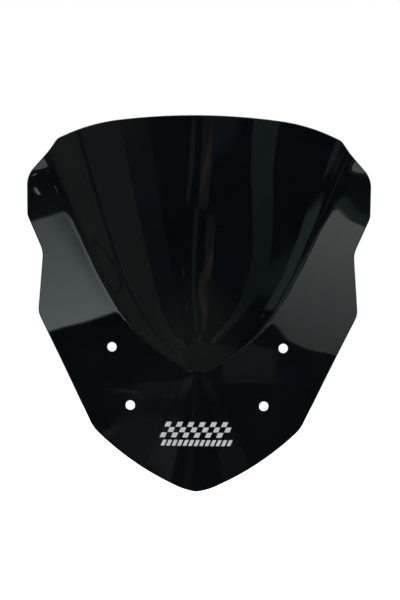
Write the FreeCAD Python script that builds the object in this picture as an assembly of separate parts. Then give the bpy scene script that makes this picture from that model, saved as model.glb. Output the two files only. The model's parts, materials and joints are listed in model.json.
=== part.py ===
import FreeCAD, Part
import math
import os

# A bare moulded windshield screen for a scooter or motorcycle, with its decal, in millimetres.
# +X points right, -Y forward into the wind and +Z up the centreline of the screen.
# The origin is midway between the two upper mounting holes, on the rear face that seats there.

# The sheet and its four fixing holes, drilled along Y
THICKNESS = 3.0
HOLE_RADIUS = 6.0
UPPER_HOLE_SPACING = 219.0
LOWER_HOLE_SPACING = 170.5
LOWER_HOLE_DROP = 74.0

# Wings: two nearly flat planes swept back from a centre ridge, whose rounding widens away from the neck.
# The twist starts the lean sooner towards the tips.
WING_SWEEP = math.tan(math.radians(9))
WING_TWIST = 0.15
NECK_Z = -31.0
RIDGE_RADIUS = 8.0
RIDGE_SPREAD = 0.4

# Side profile: straight past the lower holes, then curving forward to a steady lean
LEAN = math.tan(math.radians(20))
LEAN_START_Z = -80.0
LEAN_END_Z = 300.0

# Centre bubble: a rounded arch between two valley creases, which rises from the neck to the top edge.
# Its share is the arch's height as a part of the distance from the centreline to a crease.
BUBBLE_SHARE = 0.32
CREASE_FLARE = 0.4
CREASE_SHOULDER = 76.0
CREASE_SHOULDER_LENGTH = 38.0
NECK_BLEND = 8.0
CREASE_SOFTNESS = 0.3
CREASE_SOFTENING = 0.006

# Ears: the wings' top corners bend back a little, across a line that drops outward
EAR_BEND = math.tan(math.radians(3.5))
EAR_LINE_TILT = 0.2
EAR_LINE_Z = 262.0
EAR_SOFTNESS = 2.5

# Rim, right half from the top centre to the bottom tip: x, z and corner radius
RIM = [
    (0.0, 288.3, 1100.0),
    (131.9, 276.6, 260.0),
    (177.1, 260.6, 15.0),
    (188.9, 246.2, 40.0),
    (217.0, 215.9, 32.0),
    (217.6, 166.9, 18.0),
    (198.1, 121.3, 30.0),
    (205.0, 43.5, 25.0),
    (132.7, -103.6, 50.0),
    (83.9, -147.9, 360.0),
    (15.2, -180.8, 90.0),
    (0.0, -183.1, 5.0),
]

# The cutters for the rim, the holes and the film reach this far to each side of the seat plane
CUTTER_REACH = 250.0

# The grid of points that the face is splined through reaches past the rim on every side
GRID_X = 232.0
GRID_BOTTOM_Z = -200.0
GRID_TOP_Z = 300.0
GRID_STEP_X = 4.0
GRID_STEP_Z = 5.0

# Decal: a slanted band of alternate checks, with an even row of dashes below it
DECAL_THICKNESS = 0.2
DECAL_SLANT = 0.45
CHECK_COLUMNS = 12
CHECK_ROWS = 3
CHECK_WIDTH = 6.8
CHECK_HEIGHT = 6.2
CHECK_PITCH_X = 7.2
CHECK_PITCH_Z = 6.8
CHECK_CENTRE_Z = -104.3
DASH_COUNT = 13
DASH_WIDTH = 4.6
DASH_HEIGHT = 7.6
DASH_PITCH = 7.0
DASH_CENTRE_Z = -121.0
DECAL_REACH_X = 60.0
DECAL_LOW_Z = -130.0
DECAL_HIGH_Z = -90.0


def ridge_reach(x, z):
    """The distance out from the centreline, rounded off to a smooth ridge round it."""
    rounding = math.hypot(RIDGE_RADIUS, RIDGE_SPREAD * (z - NECK_Z))
    return math.hypot(x, rounding) - rounding


def lean_rise(height):
    """The forward lean of the side profile, with a slope that eases in between the two heights."""
    span = LEAN_END_Z - LEAN_START_Z
    t = (height - LEAN_START_Z) / span
    eased = min(max(t, 0.0), 1.0)
    return LEAN * span * (eased**3 - eased**4 / 2 + max(t - 1, 0.0))


def soft_positive(value, softness):
    """The value where it is positive and zero where it is negative, with a rounded change between."""
    return max(value, 0.0) + softness * math.log1p(math.exp(-abs(value) / softness))


def ear_fall(x, z):
    """How far the ears fall back above their bend line."""
    return EAR_BEND * soft_positive(z + EAR_LINE_TILT * abs(x) - EAR_LINE_Z, EAR_SOFTNESS)


def arch_rise(x, z):
    """The arch of the bubble: zero along its creases, and below zero outside them and under the neck."""
    above = z - NECK_Z
    reach = (above + math.hypot(above, 2 * NECK_BLEND)) / 2
    crease_x = CREASE_FLARE * reach + CREASE_SHOULDER * (1 - math.exp(-reach / CREASE_SHOULDER_LENGTH))
    return BUBBLE_SHARE * crease_x * (above / reach - (x / crease_x) ** 2)


def rise(x, z):
    """How far the front face stands forward: the bubble above its creases, and the wings outside them."""
    reach = ridge_reach(x, z)
    fall = ear_fall(x, z)
    wings = lean_rise(z + WING_TWIST * reach) - WING_SWEEP * reach - fall
    softness = CREASE_SOFTNESS + CREASE_SOFTENING * max(z - NECK_Z, 0.0)
    return wings + soft_positive(arch_rise(x, z) + fall, softness)


def front_y(x, z):
    """Y of the front face, with the rear face at zero at the upper holes."""
    return rise(UPPER_HOLE_SPACING / 2, 0.0) - rise(x, z) - THICKNESS


def front_surface():
    """One smooth surface through a grid of points of the formula."""
    columns = round(2 * GRID_X / GRID_STEP_X)
    rows = round((GRID_TOP_Z - GRID_BOTTOM_Z) / GRID_STEP_Z)
    points = []
    for i in range(columns + 1):
        x = -GRID_X + i * GRID_STEP_X
        heights = [GRID_BOTTOM_Z + j * GRID_STEP_Z for j in range(rows + 1)]
        points.append([FreeCAD.Vector(x, front_y(x, z), z) for z in heights])
    surface = Part.BSplineSurface()
    surface.interpolate(points)
    return surface


def decal_face(surface):
    """The stretch of the front face that the decal lies on."""
    low_y = front_y(DECAL_REACH_X, DECAL_LOW_Z)
    high_y = front_y(DECAL_REACH_X, DECAL_HIGH_Z)
    low = surface.parameter(FreeCAD.Vector(-DECAL_REACH_X, low_y, DECAL_LOW_Z))
    high = surface.parameter(FreeCAD.Vector(DECAL_REACH_X, high_y, DECAL_HIGH_Z))
    stretch = surface.copy()
    stretch.segment(low[0], high[0], low[1], high[1])
    return stretch.toShape()


def whole_rim():
    """The corners of the whole rim, clockwise from the top centre as seen from the front."""
    left = [(-x, z, radius) for x, z, radius in reversed(RIM[1:-1])]
    return RIM + left


def rounded_wire(corners):
    """A closed wire in the XZ plane with each corner replaced by a tangent arc."""
    starts, edges = [], []
    count = len(corners)
    for i in range(count):
        x, z, radius = corners[i]
        corner = FreeCAD.Vector(x, 0, z)
        back = FreeCAD.Vector(corners[i - 1][0], 0, corners[i - 1][1]) - corner
        ahead = FreeCAD.Vector(corners[(i + 1) % count][0], 0, corners[(i + 1) % count][1]) - corner
        back.normalize()
        ahead.normalize()
        half_angle = back.getAngle(ahead) / 2
        start = corner + back * (radius / math.tan(half_angle))
        end = corner + ahead * (radius / math.tan(half_angle))
        inward = (back + ahead).normalize()
        middle = corner + inward * (radius / math.sin(half_angle) - radius)
        edges.append(Part.Arc(start, middle, end).toShape())
        starts.append((start, end))
    for i in range(count):
        edges.append(Part.LineSegment(starts[i][1], starts[(i + 1) % count][0]).toShape())
    return Part.Wire(Part.__sortEdges__(edges))


def prism(wire):
    """The wire's area drawn out along Y, past the front face on both sides."""
    area = Part.Face(wire)
    area.translate(FreeCAD.Vector(0, -CUTTER_REACH, 0))
    return area.extrude(FreeCAD.Vector(0, 2 * CUTTER_REACH, 0))


def screen(face):
    """The sheet: the face inside the rim, thickened rearward, with four holes through it."""
    outline = rounded_wire(whole_rim())
    sheet = face.common(prism(outline)).Faces[0].extrude(FreeCAD.Vector(0, THICKNESS, 0))
    holes = [
        (UPPER_HOLE_SPACING / 2, 0.0),
        (LOWER_HOLE_SPACING / 2, -LOWER_HOLE_DROP),
    ]
    for x, z in holes:
        for side in (-1, 1):
            start = FreeCAD.Vector(side * x, -CUTTER_REACH, z)
            drill = Part.makeCylinder(HOLE_RADIUS, 2 * CUTTER_REACH, start, FreeCAD.Vector(0, 1, 0))
            sheet = sheet.cut(drill)
    return sheet


def patch(face, centre_x, centre_z, width, height):
    """A film patch on the front face: an upright block leaned over to the decal's slant."""
    corners = []
    for across, up in [(-0.5, -0.5), (0.5, -0.5), (0.5, 0.5), (-0.5, 0.5)]:
        z = up * height
        corners.append(FreeCAD.Vector(centre_x + across * width + DECAL_SLANT * z, 0, centre_z + z))
    outline = Part.makePolygon(corners + corners[:1])
    piece = face.common(prism(outline)).Faces[0]
    return piece.extrude(FreeCAD.Vector(0, -DECAL_THICKNESS, 0))


def decal_checks(face):
    """Every other cell of a slanted grid."""
    patches = []
    for row in range(CHECK_ROWS):
        offset_z = ((CHECK_ROWS - 1) / 2 - row) * CHECK_PITCH_Z
        for column in range(row % 2, CHECK_COLUMNS, 2):
            x = (column - (CHECK_COLUMNS - 1) / 2) * CHECK_PITCH_X + DECAL_SLANT * offset_z
            patches.append(patch(face, x, CHECK_CENTRE_Z + offset_z, CHECK_WIDTH, CHECK_HEIGHT))
    return Part.makeCompound(patches)


def decal_dashes(face):
    """One even row of dashes."""
    patches = []
    for i in range(DASH_COUNT):
        x = (i - (DASH_COUNT - 1) / 2) * DASH_PITCH
        patches.append(patch(face, x, DASH_CENTRE_Z, DASH_WIDTH, DASH_HEIGHT))
    return Part.makeCompound(patches)


def main():
    os.makedirs("parts", exist_ok=True)
    surface = front_surface()
    decal_ground = decal_face(surface)
    nodes = {
        "screen": screen(surface.toShape()),
        "decal_checks": decal_checks(decal_ground),
        "decal_dashes": decal_dashes(decal_ground),
    }
    for name, shape in nodes.items():
        box = shape.BoundBox
        print(name, "valid", shape.isValid(), "solids", len(shape.Solids), "volume", round(shape.Volume))
        print("  x", round(box.XMin, 2), round(box.XMax, 2), "y", round(box.YMin, 2), round(box.YMax, 2))
        print("  z", round(box.ZMin, 2), round(box.ZMax, 2))
        shape.exportStep(os.path.join("parts", name + ".step"))


main()
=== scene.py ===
import json
import math
from collections import namedtuple

import bpy
import numpy as np
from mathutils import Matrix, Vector, geometry


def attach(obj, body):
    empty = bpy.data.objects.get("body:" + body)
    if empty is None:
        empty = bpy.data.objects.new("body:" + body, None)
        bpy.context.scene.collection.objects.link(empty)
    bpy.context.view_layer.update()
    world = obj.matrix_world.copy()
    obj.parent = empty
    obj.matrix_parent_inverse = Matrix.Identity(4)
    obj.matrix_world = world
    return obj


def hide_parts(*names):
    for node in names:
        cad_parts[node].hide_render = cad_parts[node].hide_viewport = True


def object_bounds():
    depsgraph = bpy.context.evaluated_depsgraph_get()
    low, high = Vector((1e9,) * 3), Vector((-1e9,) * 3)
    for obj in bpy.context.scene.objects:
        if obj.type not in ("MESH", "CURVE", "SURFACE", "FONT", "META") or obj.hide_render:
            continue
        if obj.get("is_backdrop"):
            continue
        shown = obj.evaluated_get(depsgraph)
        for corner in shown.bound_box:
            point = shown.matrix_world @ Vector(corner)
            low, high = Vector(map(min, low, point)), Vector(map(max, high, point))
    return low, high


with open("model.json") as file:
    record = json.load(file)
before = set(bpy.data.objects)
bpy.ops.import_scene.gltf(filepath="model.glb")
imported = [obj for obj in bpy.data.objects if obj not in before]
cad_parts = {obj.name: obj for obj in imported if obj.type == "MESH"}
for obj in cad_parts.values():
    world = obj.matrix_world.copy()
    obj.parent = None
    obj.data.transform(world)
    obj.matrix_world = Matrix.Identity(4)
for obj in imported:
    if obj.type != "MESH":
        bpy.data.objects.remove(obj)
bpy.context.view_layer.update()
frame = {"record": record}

MM_PER_M = 1000
QUARTER_TURN = math.pi / 2
WHITE = (1.0, 1.0, 1.0, 1.0)

# The sheet. Everything is in metres: +X right, -Y forward, +Z up, origin midway between the upper holes.
THICKNESS = 0.003
EDGE_RADIUS = 0.0012
HOLE_EDGE_RADIUS = 0.0004

# Wings: two nearly flat planes swept back from a centre ridge, whose rounding widens away from the neck.
# The twist starts the lean sooner towards the tips.
WING_SWEEP = math.tan(math.radians(9))
WING_TWIST = 0.15
NECK_Z = -0.031
RIDGE_RADIUS = 0.008
RIDGE_SPREAD = 0.4

# Side profile: straight past the lower holes, then curving forward to a steady lean
LEAN = math.tan(math.radians(20))
LEAN_START_Z = -0.080
LEAN_END_Z = 0.300

# Centre bubble: a rounded arch between two valley creases, which rises from the neck to the top edge.
# Its share is the arch's height as a part of the distance from the centreline to a crease.
BUBBLE_SHARE = 0.32
CREASE_FLARE = 0.4
CREASE_SHOULDER = 0.076
CREASE_SHOULDER_LENGTH = 0.038
NECK_BLEND = 0.008
CREASE_SOFTNESS = 0.0003
CREASE_SOFTENING = 0.006

# Ears: the wings' top corners bend back a little, across a line that drops outward
EAR_BEND = math.tan(math.radians(3.5))
EAR_LINE_TILT = 0.2
EAR_LINE_Z = 0.262
EAR_SOFTNESS = 0.0025

# Rim, right half from the top centre to the bottom tip: x, z and corner radius
RIM = [
    (0.0, 0.2883, 1.100),
    (0.1319, 0.2766, 0.260),
    (0.1771, 0.2606, 0.015),
    (0.1889, 0.2462, 0.040),
    (0.2170, 0.2159, 0.032),
    (0.2176, 0.1669, 0.018),
    (0.1981, 0.1213, 0.030),
    (0.2050, 0.0435, 0.025),
    (0.1327, -0.1036, 0.050),
    (0.0839, -0.1479, 0.360),
    (0.0152, -0.1808, 0.090),
    (0.0, -0.1831, 0.005),
]

# Mesh density, the gap between the grid and the border, and the step that the slopes are measured over.
# The border is gone through in parts, which keeps the tables of distances small.
RIM_STEP = 0.0025
ARC_STEP = math.radians(6)
GRID_STEP = 0.003
BORDER_GAP = 0.55 * GRID_STEP
BORDER_PARTS = 20
MERGE_DISTANCE = 1e-9
HOLE_SEGMENTS = 48
EDGE_ROWS = 4
SLOPE_STEP = 0.0002

# Decal: a slanted band of alternate checks, with an even row of dashes below it. Its film's edge has rows
# of points given by their inset, their lift off the face and the outward tilt of their normals.
FILM_THICKNESS = 0.0002
FILM_CORNER = 0.0005
FILM_EDGE = 0.00012
FILM_ROWS = [
    (FILM_EDGE, FILM_THICKNESS, 0.0),
    (0.0, FILM_THICKNESS - FILM_EDGE, math.pi / 3),
    (0.0, 0.0, QUARTER_TURN),
]
DECAL_SLANT = 0.45
CHECK_COLUMNS = 12
CHECK_ROWS = 3
CHECK_SIZE = (0.0068, 0.0062)
CHECK_PITCH = (0.0072, 0.0068)
CHECK_CENTRE_Z = -0.1043
DASH_COUNT = 13
DASH_SIZE = (0.0046, 0.0076)
DASH_PITCH = 0.007
DASH_CENTRE_Z = -0.121

# A painted sheen round the neck: a paler colour painted into the plastic, because that area is paler than
# its gloss alone makes it. Its centre, one over its reach along each axis, and its colour
PAINTED_SHEEN_CENTRE = (0.004, 0.0, 0.026)
PAINTED_SHEEN_SCALE = (1 / 0.062, 0.0, 1 / 0.062)
PAINTED_SHEEN_COLOUR = (0.0030, 0.0041, 0.0035, 1.0)
ACRYLIC_IOR = 1.49

# The sheet's material slots, and the colour sockets of a mix node: its factor, its two inputs, its output
POLISHED, DRILLED = 0, 1
MIX_FACTOR, MIX_FIRST, MIX_SECOND, MIX_RESULT = 0, 6, 7, 2

# Camera and stage
CAMERA_DISTANCE = 2.5
CAMERA_ROLL = math.radians(-0.55)
VIEW_CENTRE = Vector((0.0025, 0.0, 0.0609))
VIEW_HEIGHT = 0.768
SENSOR_WIDTH_MM = 36.0
FLOOR_DROP = 0.22
FLOOR_RADIUS = 6.0
FLOOR_SIDES = 64
FLOOR_GLOW = 0.75


# Studio light, as windows in the directions round the object, in degrees. Azimuth 0 is straight ahead of
# the front face and grows to the right, elevation is above the horizon. Later windows cover earlier ones.
# Most of them are placed for what the front of this one shape mirrors to the camera, so they say more about
# the picture than about a real studio.
# low and high are the light at a window's foot and head, the same where only low is given. slant is how
# far its sides lean for each degree of elevation, and tilt is how far its foot and head climb for each
# degree of azimuth.
Window = namedtuple("Window", "centre half soft low high slant tilt", defaults=[None, 0.0, 0.0])
STUDIO_DARK = (0.002, 0.004, 0.014)
WINDOWS = [
    # The room ahead and the dim ground
    Window((0, 0), (60, 14), 4, (0.014, 0.018, 0.026)),
    Window((-8, -32), (34, 1.5), 2.6, (0.04, 0.055, 0.05)),
    Window((0, -61), (120, 13), 3, (0.06, 0.08, 0.07)),
    # The grey-green wall on the left: second tone, bright head, face, near end, seam and a line at its foot
    Window((-48.5, -40), (15, 9), 2.0, (0.035, 0.045, 0.05), (0.03, 0.042, 0.047), slant=0.5),
    Window((-57.5, -45), (18, 3.3), 1.2, (0.165, 0.178, 0.158), (0.155, 0.168, 0.148), tilt=-0.17),
    Window((-81.2, -45), (28, 14), 0.9, (0.105, 0.125, 0.105), (0.118, 0.13, 0.112), slant=0.25),
    Window((-92, -45), (19, 14), 0.9, (0.13, 0.138, 0.118)),
    Window((-75, -42.5), (1.0, 10), 0.8, (0.03, 0.04, 0.045), (0.035, 0.045, 0.05), slant=0.2),
    Window((-77.5, -32.6), (5.6, 0.12), 0.25, (0.045, 0.05, 0.05), tilt=0.05),
    # The wall's light in the fold between the left wing and the bubble
    Window((-49, -25.5), (26, 6.2), 1.0, (0.11, 0.125, 0.105)),
    # The strips up the middle, with warm spots in them
    Window((-7.5, -44.2), (1.7, 2.8), 1.4, (0.10, 0.12, 0.125), (0.07, 0.09, 0.095), slant=-1.1),
    Window((-4.8, -36), (2.3, 5), 1.2, (0.085, 0.08, 0.10), (0.10, 0.125, 0.13), slant=-0.6),
    Window((5.3, -44.2), (4.6, 3.2), 1.6, (0.075, 0.09, 0.095), (0.115, 0.105, 0.12), slant=-0.6),
    Window((12, -36.8), (4.4, 3.3), 1.4, (0.075, 0.085, 0.10), (0.12, 0.12, 0.12)),
    Window((5, -44.7), (4.0, 0.85), 0.9, (0.29, 0.19, 0.14), tilt=-0.3),
    Window((8, -33.8), (8.5, 0.75), 0.9, (0.21, 0.155, 0.11), tilt=-0.18),
    Window((14.0, -34.6), (2.8, 0.6), 0.9, (0.32, 0.22, 0.16), tilt=-0.3),
    Window((20, -47.2), (9, 1.6), 1.0, (0.06, 0.08, 0.088)),
    # The green strip on the right, its wide foot, the pale band by the crease, a pale corner and the fold
    Window((51.7, -39), (5.9, 8), 0.9, (0.125, 0.19, 0.185), (0.04, 0.075, 0.072), slant=1.5),
    Window((66, -32.2), (15, 1.0), 0.9, (0.055, 0.085, 0.088)),
    Window((82.4, -33.3), (3.6, 1.5), 0.9, (0.18, 0.26, 0.24), (0.19, 0.29, 0.27)),
    Window((82.6, -36.2), (1.4, 0.3), 0.5, (0.14, 0.17, 0.18)),
    Window((51.2, -25.7), (29, 6.1), 0.8, (0.24, 0.34, 0.32)),
    # The bright panels that the two wings show: green light over the right one, the left one with its inner
    # shade, and the right one
    Window((18.9, -31.7), (1.5, 0.7), 0.5, (0.16, 0.24, 0.22), tilt=0.8),
    Window((-19, -24), (2.3, 7.3), 0.5, (1.12, 1.32, 1.38), (1.85, 2.1, 2.22), slant=-0.13, tilt=-0.15),
    Window((-16.9, -24), (1.1, 7.3), 1.8, (0.17, 0.19, 0.2)),
    Window((19.3, -22.45), (1.9, 8.3), 0.3, (1.35, 1.5, 1.44), (0.58, 0.62, 0.60), slant=0.06, tilt=0.8),
    # Two small lamps, and the dim shapes that the lower part shows
    Window((-18.45, -34.0), (0.04, 0.34), 0.08, (3.5, 3.8, 4.2), slant=0.14),
    Window((-16.95, 0.1), (0.13, 0.06), 0.12, (1.5, 1.6, 1.7), tilt=-0.5),
    Window((18.75, -6.4), (0.95, 5.7), 0.4, (0.105, 0.13, 0.112), (0.085, 0.105, 0.09), slant=0.03),
    Window((-18, -0.2), (1.7, 1.0), 0.5, (0.075, 0.095, 0.09), tilt=-0.55),
    Window((-19.8, 0.95), (0.35, 0.2), 0.3, (0.16, 0.18, 0.17)),
    Window((-13, -2.5), (3.2, 0.9), 0.7, (0.14, 0.165, 0.145), tilt=-0.4),
    Window((-3.5, -4.5), (1.6, 2.0), 0.8, (0.06, 0.05, 0.04)),
    Window((13.2, -2.4), (2.8, 0.9), 0.7, (0.055, 0.073, 0.08), tilt=0.45),
    # The large key above the camera, and soft panels for the sides, the back and overhead
    Window((0, 38), (60, 18), 8, (3.0, 3.0, 3.0)),
    Window((0, 78), (180, 12), 12, (2.0, 2.0, 2.0)),
    Window((150, 20), (22, 30), 8, (2.2, 2.2, 2.2)),
    Window((-140, 25), (16, 30), 8, (1.6, 1.6, 1.6)),
    Window((95, 15), (12, 32), 8, (1.6, 1.6, 1.6)),
    Window((-98, 15), (11, 32), 8, (1.6, 1.6, 1.6)),
    Window((62, -8), (9, 14), 6, (0.5, 0.5, 0.5), (1.3, 1.3, 1.3)),
    Window((-62, -8), (9, 14), 6, (0.5, 0.5, 0.5), (1.3, 1.3, 1.3)),
    Window((0, -78), (80, 6), 5, (0.5, 0.5, 0.5)),
    Window((160, -56), (17, 6), 6, (0.9, 0.9, 0.9)),
]


# ---------------------------------------------------------------- surface

def ridge_reach(x, z):
    """The distance out from the centreline, rounded off to a smooth ridge round it."""
    rounding = np.hypot(RIDGE_RADIUS, RIDGE_SPREAD * (z - NECK_Z))
    return np.hypot(x, rounding) - rounding


def lean_rise(height):
    """The forward lean of the side profile, with a slope that eases in between the two heights."""
    span = LEAN_END_Z - LEAN_START_Z
    t = (height - LEAN_START_Z) / span
    eased = np.clip(t, 0, 1)
    return LEAN * span * (eased**3 - eased**4 / 2 + np.maximum(t - 1, 0))


def soft_positive(value, softness):
    """The value where it is positive and zero where it is negative, with a rounded change between."""
    return softness * np.logaddexp(0, value / softness)


def ear_fall(x, z):
    """How far the ears fall back above their bend line."""
    return EAR_BEND * soft_positive(z + EAR_LINE_TILT * np.abs(x) - EAR_LINE_Z, EAR_SOFTNESS)


def arch_rise(x, z):
    """The arch of the bubble: zero along its creases, and below zero outside them and under the neck."""
    above = z - NECK_Z
    reach = (above + np.hypot(above, 2 * NECK_BLEND)) / 2
    crease_x = CREASE_FLARE * reach + CREASE_SHOULDER * (1 - np.exp(-reach / CREASE_SHOULDER_LENGTH))
    return BUBBLE_SHARE * crease_x * (above / reach - (x / crease_x) ** 2)


def rise(x, z):
    """How far the front face stands forward: the bubble above its creases, and the wings outside them."""
    reach = ridge_reach(x, z)
    fall = ear_fall(x, z)
    wings = lean_rise(z + WING_TWIST * reach) - WING_SWEEP * reach - fall
    softness = CREASE_SOFTNESS + CREASE_SOFTENING * np.maximum(z - NECK_Z, 0)
    return wings + soft_positive(arch_rise(x, z) + fall, softness)


UPPER_HOLES = next(m for m in frame["record"]["mounts"] if m["name"] == "upper_holes")
SEAT_RISE = float(rise(UPPER_HOLES["dims"]["spacing_x_mm"] / 2 / MM_PER_M, UPPER_HOLES["pos_m"][2]))


def front_y(x, z):
    """Y of the front face, with the rear face at zero at the upper holes."""
    return SEAT_RISE - rise(x, z) - THICKNESS


def unit(vectors):
    """The vectors, each scaled to length one."""
    return vectors / np.linalg.norm(vectors, axis=-1, keepdims=True)


def front_points(flat, depth=0.0):
    """Points (x, z) placed in space, at a depth behind the front face."""
    x, z = flat[:, 0], flat[:, 1]
    return np.stack([x, front_y(x, z) + depth, z], axis=1)


def front_normals(flat):
    """Unit normals of the front face, pointing forward."""
    x, z = flat[:, 0], flat[:, 1]
    slope_x = (front_y(x + SLOPE_STEP, z) - front_y(x - SLOPE_STEP, z)) / (2 * SLOPE_STEP)
    slope_z = (front_y(x, z + SLOPE_STEP) - front_y(x, z - SLOPE_STEP)) / (2 * SLOPE_STEP)
    return unit(np.stack([slope_x, -np.ones(len(x)), slope_z], axis=1))


def tilted_normals(flat, outward, angle):
    """Normals of the front face, tilted by an angle to the outward directions (x, z)."""
    sideways = np.stack([outward[:, 0], np.zeros(len(outward)), outward[:, 1]], axis=1)
    return unit(math.cos(angle) * front_normals(flat) + math.sin(angle) * sideways)


# ---------------------------------------------------------------- outlines

def arc_points(before, corner, after, radius):
    """The arc that rounds one corner of a polygon, as a list of points."""
    back, ahead = unit(before - corner), unit(after - corner)
    half = math.acos(np.clip(np.dot(back, ahead), -1, 1)) / 2
    centre = corner + unit(back + ahead) * radius / math.sin(half)
    start = corner + back * radius / math.tan(half) - centre
    turn = math.pi - 2 * half
    side = np.sign(back[0] * ahead[1] - back[1] * ahead[0])
    count = max(2, math.ceil(max(turn / ARC_STEP, turn * radius / RIM_STEP)) + 1)
    points = []
    for angle in np.linspace(0, -side * turn, count):
        c, s = math.cos(angle), math.sin(angle)
        points.append(centre + np.array([c * start[0] - s * start[1], s * start[0] + c * start[1]]))
    return points


def rounded_loop(corners):
    """A closed loop of points: the polygon with every corner rounded, its straight runs divided."""
    flat = np.array([c[:2] for c in corners])
    arcs = []
    for i, (_, _, radius) in enumerate(corners):
        arcs.append(arc_points(flat[i - 1], flat[i], flat[(i + 1) % len(flat)], radius))
    loop = []
    for arc, following in zip(arcs, arcs[1:] + arcs[:1]):
        run = following[0] - arc[-1]
        steps = max(1, math.ceil(np.linalg.norm(run) / RIM_STEP))
        loop += arc
        loop += [arc[-1] + run * k / steps for k in range(1, steps)]
    return np.array(loop)


def outward_of(loop):
    """Directions square to a clockwise loop, pointing out of it."""
    along = unit(np.roll(loop, -1, axis=0) - np.roll(loop, 1, axis=0))
    return np.stack([-along[:, 1], along[:, 0]], axis=1)


def rim_edge():
    """The rim as (points, directions out of the material, edge radius)."""
    left = [(-x, z, radius) for x, z, radius in reversed(RIM[1:-1])]
    loop = rounded_loop(RIM + left)
    return loop, outward_of(loop), EDGE_RADIUS


def hole_edges():
    """Each mounting hole as (points, directions out of the material, edge radius)."""
    edges = []
    angles = np.linspace(0, 2 * math.pi, HOLE_SEGMENTS, endpoint=False)
    circle = np.stack([np.cos(angles), np.sin(angles)], axis=1)
    for mount in frame["record"]["mounts"]:
        radius = mount["dims"]["hole_r_mm"] / MM_PER_M
        hole_x = mount["dims"]["spacing_x_mm"] / 2 / MM_PER_M
        for side in (-1, 1):
            centre = np.array([side * hole_x, mount["pos_m"][2]])
            edges.append((centre + circle * radius, -circle, HOLE_EDGE_RADIUS))
    return edges


def inside(points, loop):
    """Which of the points lie inside a closed loop, by the even-odd rule."""
    x, z = points[:, 0], points[:, 1]
    odd = np.zeros(len(points), bool)
    for (ax, az), (bx, bz) in zip(loop, np.roll(loop, -1, axis=0)):
        crosses = (az > z) != (bz > z)
        if crosses.any():
            at_x = ax + (z - az) * (bx - ax) / (bz - az)
            odd ^= crosses & (x < at_x)
    return odd


def between(points, loops):
    """Which of the points lie inside the first loop and outside the others."""
    chosen = inside(points, loops[0])
    for loop in loops[1:]:
        chosen &= ~inside(points, loop)
    return chosen


# ---------------------------------------------------------------- meshes

def staggered_grid(low, high):
    """Points in even rows, every other row shifted by half a step."""
    row_step = GRID_STEP * math.sqrt(3) / 2
    rows = []
    for k, z in enumerate(np.arange(low[1], high[1], row_step)):
        x = np.arange(low[0] + (k % 2) * GRID_STEP / 2, high[0], GRID_STEP)
        rows.append(np.stack([x, np.full(len(x), z)], axis=1))
    return np.concatenate(rows)


def clear_of(points, border):
    """The points that keep the gap to every border point."""
    for part in np.array_split(border, BORDER_PARTS):
        apart = np.linalg.norm(points[:, None, :] - part[None, :, :], axis=2).min(1)
        points = points[apart > BORDER_GAP]
    return points


def border_edges(loops):
    """The edges of all the loops, as pairs of point numbers counted through the loops in turn."""
    edges, first = [], 0
    for loop in loops:
        count = len(loop)
        edges += [(first + k, first + (k + 1) % count) for k in range(count)]
        first += count
    return edges


def fill(loops):
    """Triangles between the first loop and the others: flat points and vertex triples, loops first."""
    border = np.concatenate(loops)
    grid = staggered_grid(border.min(0), border.max(0))
    grid = clear_of(grid[between(grid, loops)], border)
    flat = np.concatenate([border, grid])
    points = [Vector(p) for p in flat]
    result = geometry.delaunay_2d_cdt(points, border_edges(loops), [], 0, MERGE_DISTANCE, True)
    made, faces, sources = result[0], result[2], result[3]
    assert len(made) == len(flat)
    source_of = np.array([s[0] for s in sources])
    triangles = source_of[np.array(faces)]
    return flat, triangles[between(flat[triangles].mean(1), loops)]


def facing_forward(points, triangles):
    """The triangles, turned over where they would face the rear."""
    corner = points[triangles]
    facing = np.cross(corner[:, 1] - corner[:, 0], corner[:, 2] - corner[:, 0])[:, 1]
    return np.where((facing < 0)[:, None], triangles, triangles[:, ::-1])


def ring_faces(starts, count):
    """Four-sided faces between rings of vertices, given the number of the first vertex in each ring."""
    faces = []
    for above, below in zip(starts, starts[1:]):
        for k in range(count):
            after = (k + 1) % count
            faces.append((above + k, above + after, below + after, below + k))
    return faces


def edge_rows(edge):
    """Rows of points and normals round one cut edge: over its front round, then over its rear round."""
    loop, outward, radius = edge
    rows = []
    for rear in (0, 1):
        for k in range(EDGE_ROWS + 1):
            angle = QUARTER_TURN * k / EDGE_ROWS + rear * QUARTER_TURN
            flat = loop + outward * radius * (math.sin(angle) - 1)
            depth = rear * (THICKNESS - 2 * radius) + radius * (1 - math.cos(angle))
            rows.append((front_points(flat, depth), tilted_normals(flat, outward, angle)))
    return rows


def sheet_mesh(materials):
    """The sheet: front and rear faces filled between the cut edges, and the rounded edges themselves."""
    edges = [rim_edge()] + hole_edges()
    flat, triangles = fill([loop - outward * radius for loop, outward, radius in edges])
    front, normals = front_points(flat), front_normals(flat)
    points, directions = [front, front_points(flat, THICKNESS)], [normals, -normals]
    triangles = facing_forward(front, triangles)
    faces = [tuple(t) for t in triangles] + [tuple(t[::-1] + len(flat)) for t in triangles]
    slots = [POLISHED] * len(faces)
    total, first = 2 * len(flat), 0
    for number, edge in enumerate(edges):
        count = len(edge[0])
        starts = [first]
        for row_points, row_normals in edge_rows(edge)[1:-1]:
            points.append(row_points)
            directions.append(row_normals)
            starts.append(total)
            total += count
        starts.append(first + len(flat))
        first += count
        ring = ring_faces(starts, count)
        faces += ring
        slots += [DRILLED if number else POLISHED] * len(ring)
    mesh_parts = np.concatenate(points), faces, np.concatenate(directions)
    return build_object("screen_sheet", *mesh_parts, materials, slots)


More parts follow.
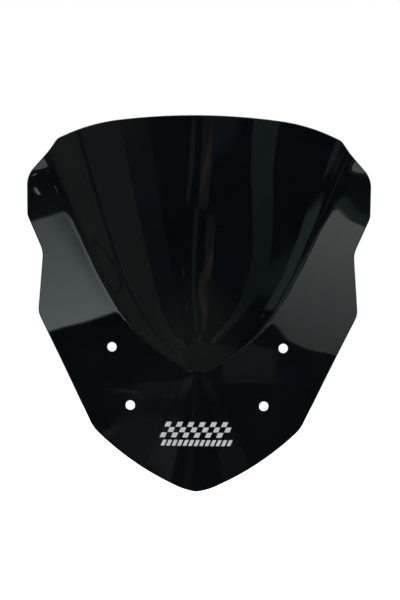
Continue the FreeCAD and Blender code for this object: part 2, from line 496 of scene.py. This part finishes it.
def build_object(name, points, faces, normals, materials, slots):
    """A smooth-shaded object with the normals given."""
    mesh = bpy.data.meshes.new(name)
    mesh.from_pydata([tuple(p) for p in points], [], faces)
    for material in materials:
        mesh.materials.append(material)
    mesh.polygons.foreach_set("material_index", slots)
    mesh.polygons.foreach_set("use_smooth", [True] * len(faces))
    mesh.update()
    mesh.normals_split_custom_set_from_vertices([tuple(n) for n in normals])
    piece = bpy.data.objects.new(name, mesh)
    bpy.context.scene.collection.objects.link(piece)
    return piece


def film_patch(centre_x, centre_z, size):
    """Points, normals and faces of one decal patch: a slanted block with round corners and a soft edge."""
    width, height = size
    corners = []
    for across, up in [(-0.5, 0.5), (0.5, 0.5), (0.5, -0.5), (-0.5, -0.5)]:
        z = up * height
        corners.append((centre_x + across * width + DECAL_SLANT * z, centre_z + z, FILM_CORNER))
    loop = rounded_loop(corners)
    outward = outward_of(loop)
    points, normals = [], []
    for inset, lift, tilt in FILM_ROWS:
        flat = loop - outward * inset
        points.append(front_points(flat, -lift))
        normals.append(tilted_normals(flat, outward, tilt))
    centre = np.array([[centre_x, centre_z]])
    points += [front_points(centre, -FILM_THICKNESS), front_points(centre)]
    normals += [front_normals(centre), -front_normals(centre)]
    count = len(loop)
    starts = [row * count for row in range(len(FILM_ROWS))]
    faces = ring_faces(starts, count)
    top = len(FILM_ROWS) * count
    bottom = top + 1
    for k in range(count):
        after = (k + 1) % count
        faces.append((top, after, k))
        faces.append((bottom, starts[-1] + k, starts[-1] + after))
    return np.concatenate(points), np.concatenate(normals), faces


def film_object(name, places, size, material):
    """One decal piece made of patches at the places given."""
    points, normals, faces, total = [], [], [], 0
    for x, z in places:
        patch_points, patch_normals, patch_faces = film_patch(x, z, size)
        points.append(patch_points)
        normals.append(patch_normals)
        faces += [tuple(i + total for i in face) for face in patch_faces]
        total += len(patch_points)
    mesh_parts = np.concatenate(points), faces, np.concatenate(normals)
    return build_object(name, *mesh_parts, [material], [0] * len(faces))


def check_places():
    """Every other cell of the slanted grid."""
    places = []
    for row in range(CHECK_ROWS):
        offset_z = ((CHECK_ROWS - 1) / 2 - row) * CHECK_PITCH[1]
        for column in range(row % 2, CHECK_COLUMNS, 2):
            x = (column - (CHECK_COLUMNS - 1) / 2) * CHECK_PITCH[0] + DECAL_SLANT * offset_z
            places.append((x, CHECK_CENTRE_Z + offset_z))
    return places


def dash_places():
    """One even row."""
    return [((i - (DASH_COUNT - 1) / 2) * DASH_PITCH, DASH_CENTRE_Z) for i in range(DASH_COUNT)]


# ---------------------------------------------------------------- materials

class Graph:
    """Adds nodes to a node tree by type, with inputs and settings given by name."""

    def __init__(self, tree):
        self.tree = tree
        tree.nodes.clear()

    def add(self, kind, inputs=None, **settings):
        """A node of one kind. Each input is a constant or another node's output."""
        node = self.tree.nodes.new(kind)
        for key, value in settings.items():
            setattr(node, key, value)
        for key, value in (inputs or {}).items():
            socket = node.inputs[key]
            if isinstance(value, bpy.types.NodeSocket):
                self.tree.links.new(value, socket)
            else:
                socket.default_value = value
        return node

    def math(self, operation, first, second=0.0):
        """One step of arithmetic on numbers."""
        return self.add("ShaderNodeMath", {0: first, 1: second}, operation=operation).outputs[0]

    def vector(self, operation, first, second=(0, 0, 0)):
        """One step of arithmetic on vectors."""
        return self.add("ShaderNodeVectorMath", {0: first, 1: second}, operation=operation).outputs[0]

    def length(self, vector):
        """The length of a vector."""
        return self.add("ShaderNodeVectorMath", {0: vector}, operation="LENGTH").outputs["Value"]

    def remap(self, value, before, after, curve="LINEAR"):
        """The value taken from one range to another and held inside it."""
        limits = {"From Min": before[0], "From Max": before[1], "To Min": after[0], "To Max": after[1]}
        inputs = {"Value": value, **limits}
        return self.add("ShaderNodeMapRange", inputs, interpolation_type=curve).outputs["Result"]

    def blend(self, factor, first, second):
        """A mix of two colours."""
        inputs = {MIX_FACTOR: factor, MIX_FIRST: first, MIX_SECOND: second}
        return self.add("ShaderNodeMix", inputs, data_type="RGBA").outputs[MIX_RESULT]

    def ramp(self, value, stops):
        """A colour ramp between two stops of (position, grey or colour)."""
        node = self.add("ShaderNodeValToRGB", {"Fac": value})
        for element, (position, colour) in zip(node.color_ramp.elements, stops):
            element.position = position
            element.color = (*colour, 1) if isinstance(colour, tuple) else (colour, colour, colour, 1)
        return node.outputs["Color"]

    def noise(self, place, scale, detail):
        """Soft noise."""
        inputs = {"Vector": place, "Scale": scale, "Detail": detail}
        return self.add("ShaderNodeTexNoise", inputs).outputs["Fac"]

    def bump(self, height, strength, distance):
        """A normal with the heights worked into it."""
        inputs = {"Height": height, "Strength": strength, "Distance": distance}
        return self.add("ShaderNodeBump", inputs).outputs["Normal"]

    def surface(self, inputs):
        """A principled shader with the inputs given, as the surface of the material."""
        shader = self.add("ShaderNodeBsdfPrincipled", inputs)
        self.add("ShaderNodeOutputMaterial", {"Surface": shader.outputs["BSDF"]})


def new_material(name):
    """A material, its empty graph, and the place on the object that its patterns are laid out by."""
    material = bpy.data.materials.new(name)
    material.use_nodes = True
    graph = Graph(material.node_tree)
    return material, graph, graph.add("ShaderNodeTexCoord").outputs["Object"]


def acrylic():
    """Polished black acrylic: a faint teal cast, a painted sheen at the neck, soft forming waves and dust
    specks.
    """
    material, graph, place = new_material("black_acrylic")
    cast = graph.noise(place, scale=9.0, detail=3.0)
    plain = graph.ramp(cast, [(0.35, (0.0010, 0.0016, 0.0019)), (0.65, (0.0016, 0.0023, 0.0026))])
    # Painted sheen: the colour is made paler round the neck, standing in for light the gloss alone doesn't
    # give there
    from_neck = graph.vector("MULTIPLY", graph.vector("SUBTRACT", place, PAINTED_SHEEN_CENTRE), PAINTED_SHEEN_SCALE)
    painted_sheen = graph.remap(graph.length(from_neck), (0.25, 1.0), (1.0, 0.0), "SMOOTHSTEP")
    waves = graph.noise(place, scale=14.0, detail=1.0)
    dust = graph.add("ShaderNodeTexVoronoi", {"Vector": place, "Scale": 420.0}).outputs["Distance"]
    specks = graph.ramp(dust, [(0.03, 0.30), (0.07, 0.0)])
    smear = graph.noise(place, scale=30.0, detail=4.0)
    polish = graph.ramp(smear, [(0.35, 0.012), (0.75, 0.03)])
    graph.surface({
        # The plain colour, with the painted sheen mixed in round the neck
        "Base Color": graph.blend(painted_sheen, plain, PAINTED_SHEEN_COLOUR),
        "Roughness": graph.math("ADD", polish, specks),
        "IOR": ACRYLIC_IOR,
        "Normal": graph.bump(waves, strength=0.25, distance=0.0006),
    })
    return material


def drilled_acrylic():
    """The cut wall of a drilled hole: the same plastic, frosted by the drill."""
    material, graph, place = new_material("drilled_acrylic")
    grain = graph.noise(place, scale=900.0, detail=2.0)
    graph.surface({
        "Base Color": graph.ramp(grain, [(0.3, (0.012, 0.014, 0.015)), (0.7, (0.035, 0.038, 0.040))]),
        "Roughness": graph.ramp(grain, [(0.3, 0.32), (0.7, 0.5)]),
        "IOR": ACRYLIC_IOR,
        "Normal": graph.bump(grain, strength=0.3, distance=0.0001),
    })
    return material


def silver_film():
    """Printed silver film: fine metallic flake under a satin coat, a little uneven in tone."""
    material, graph, place = new_material("silver_film")
    flake = graph.noise(place, scale=2600.0, detail=1.0)
    tone = graph.noise(place, scale=55.0, detail=2.0)
    mixed = graph.add("ShaderNodeMix", {"Factor": 0.3, "A": flake, "B": tone}).outputs["Result"]
    graph.surface({
        "Base Color": graph.ramp(mixed, [(0.3, (0.36, 0.37, 0.375)), (0.7, (0.50, 0.51, 0.515))]),
        "Roughness": graph.ramp(flake, [(0.3, 0.34), (0.7, 0.46)]),
        "Metallic": 0.35,
        "Normal": graph.bump(flake, strength=0.15, distance=0.00003),
    })
    return material


def pale_floor():
    """Plain white with a barely uneven tone, and a glow of its own that keeps it even."""
    material, graph, place = new_material("pale_floor")
    mottle = graph.noise(place, scale=3.0, detail=3.0)
    graph.surface({
        "Base Color": graph.ramp(mottle, [(0.3, 0.90), (0.7, 0.93)]),
        "Roughness": 0.9,
        "Emission Color": WHITE,
        "Emission Strength": FLOOR_GLOW,
    })
    return material


# ---------------------------------------------------------------- pieces

def make_pieces():
    """The sheet and the two parts of the decal, each standing for its CAD node."""
    sheet = sheet_mesh([acrylic(), drilled_acrylic()])
    film = silver_film()
    checks = film_object("decal_checks_film", check_places(), CHECK_SIZE, film)
    dashes = film_object("decal_dashes_film", dash_places(), DASH_SIZE, film)
    for piece, node, slot in (
        (sheet, "screen", "screen_acrylic"),
        (checks, "decal_checks", "decal_film"),
        (dashes, "decal_dashes", "decal_film"),
    ):
        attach(piece, "root")
        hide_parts(node)


# ---------------------------------------------------------------- studio

def window_mask(graph, azimuth, elevation, window):
    """Whether a direction, in degrees, lies in a window: 1 inside and 0 outside, with a soft edge."""
    across = graph.math("SUBTRACT", azimuth, window.centre[0])
    up = graph.math("SUBTRACT", elevation, window.centre[1])
    upright = graph.math("SUBTRACT", across, graph.math("MULTIPLY", up, window.slant))
    level = graph.math("SUBTRACT", up, graph.math("MULTIPLY", across, window.tilt))
    place = graph.add("ShaderNodeCombineXYZ", {"X": upright, "Y": level}).outputs[0]
    core = tuple(half - window.soft / 2 for half in window.half) + (0,)
    beyond = graph.vector("SUBTRACT", graph.vector("ABSOLUTE", place), core)
    beyond = graph.vector("MAXIMUM", beyond, (0, 0, 0))
    return graph.remap(graph.length(beyond), (0, window.soft), (1, 0), "SMOOTHSTEP")


def window_light(graph, elevation, window):
    """The light of a window, which goes from low at its foot to high at its head."""
    centre, half = window.centre[1], window.half[1]
    height = graph.remap(elevation, (centre - half, centre + half), (0, 1))
    return graph.blend(height, (*window.low, 1.0), (*(window.high or window.low), 1.0))


def studio():
    """A dark studio with soft windows of light all round, and plain white for the camera itself."""
    world = bpy.data.worlds.new("studio")
    world.use_nodes = True
    bpy.context.scene.world = world
    graph = Graph(world.node_tree)
    direction = graph.add("ShaderNodeTexCoord").outputs["Generated"]
    parts = graph.add("ShaderNodeSeparateXYZ", {"Vector": direction}).outputs
    ahead = graph.math("MULTIPLY", parts["Y"], -1.0)
    azimuth = graph.math("DEGREES", graph.math("ARCTAN2", parts["X"], ahead))
    elevation = graph.math("DEGREES", graph.math("ARCSINE", parts["Z"]))
    light = (*STUDIO_DARK, 1.0)
    for window in WINDOWS:
        mask = window_mask(graph, azimuth, elevation, window)
        light = graph.blend(mask, light, window_light(graph, elevation, window))
    seen = graph.add("ShaderNodeLightPath").outputs["Is Camera Ray"]
    lit = graph.add("ShaderNodeBackground", {"Color": light}).outputs[0]
    white = graph.add("ShaderNodeBackground", {"Color": WHITE}).outputs[0]
    both = graph.add("ShaderNodeMixShader", {0: seen, 1: lit, 2: white}).outputs[0]
    graph.add("ShaderNodeOutputWorld", {"Surface": both})


def floor():
    """A plain pale floor below the screen, which the gloss doesn't mirror."""
    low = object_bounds()[0]
    disc = {"vertices": FLOOR_SIDES, "radius": FLOOR_RADIUS, "fill_type": "NGON"}
    bpy.ops.mesh.primitive_circle_add(location=(0, 0, low.z - FLOOR_DROP), **disc)
    ground = bpy.context.object
    ground.name = "floor"
    ground.data.materials.append(pale_floor())
    ground.visible_glossy = False
    ground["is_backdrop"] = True


def camera():
    """A long lens, level, at the height of the middle of the view."""
    data = bpy.data.cameras.new("camera")
    data.sensor_width = SENSOR_WIDTH_MM
    data.lens = SENSOR_WIDTH_MM * CAMERA_DISTANCE / VIEW_HEIGHT
    eye = bpy.data.objects.new("camera", data)
    bpy.context.scene.collection.objects.link(eye)
    eye.location = VIEW_CENTRE + Vector((0, -CAMERA_DISTANCE, 0))
    eye.rotation_euler = (QUARTER_TURN, CAMERA_ROLL, 0)
    bpy.context.scene.camera = eye


camera()
studio()
make_pieces()
floor()
bpy.context.scene.view_settings.view_transform = "Standard"
